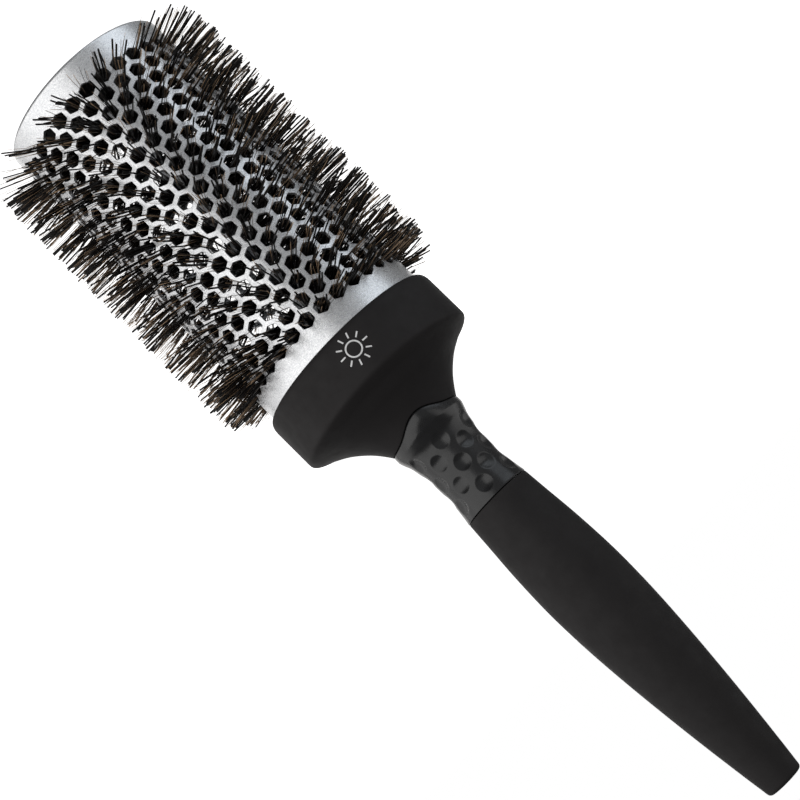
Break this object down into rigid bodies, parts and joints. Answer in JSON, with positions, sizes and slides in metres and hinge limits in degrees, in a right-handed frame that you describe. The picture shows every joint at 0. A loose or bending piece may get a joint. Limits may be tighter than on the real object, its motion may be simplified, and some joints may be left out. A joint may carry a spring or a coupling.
{
  "type": "round barrel brush",
  "caption": "Vented round metal barrel with bristles through its honeycomb, a black collar, a dimpled neck sleeve and a tapered soft-touch handle for blow-drying hair.",
  "frame": {"origin": "centre of the barrel's flat tip, on the surface that the brush stands on", "axes": "+Z along the brush's axis from the barrel's tip to the handle's end; -Y is the front; +X to the right seen from the front"},
  "size_m": [0.074, 0.074, 0.2602],
  "materials": {
    "silver_paint": "fine silver metallic paint, satin, with a slight sparkle",
    "soft_touch": "black soft-touch coating, matte with a faint sheen at the edges",
    "sleeve_rubber": "dark grey thermoplastic rubber, semi-gloss, smooth",
    "black_plastic": "black moulded plastic, satin",
    "bristle": "black nylon filaments mixed with dark brown boar bristle, softly shining",
    "steel_wire": "bright drawn steel wire",
    "brass": "plain crimped brass"
  },
  "bodies": {
    "root": {"barrel_tube": "silver_paint", "tip_plug": "black_plastic", "barrel_bush": "black_plastic", "core_wire_a": "steel_wire", "core_wire_b": "steel_wire", "wire_ferrule": "brass", "bristle_row_01": "bristle", "bristle_row_02": "bristle", "bristle_row_03": "bristle", "bristle_row_04": "bristle", "bristle_row_05": "bristle", "bristle_row_06": "bristle", "bristle_row_07": "bristle", "bristle_row_08": "bristle", "bristle_row_09": "bristle", "bristle_row_10": "bristle", "handle_core": "black_plastic", "collar_shell": "soft_touch", "neck_sleeve": "sleeve_rubber", "handle_grip": "soft_touch", "end_plug": "black_plastic"}
  },
  "joints": []
}
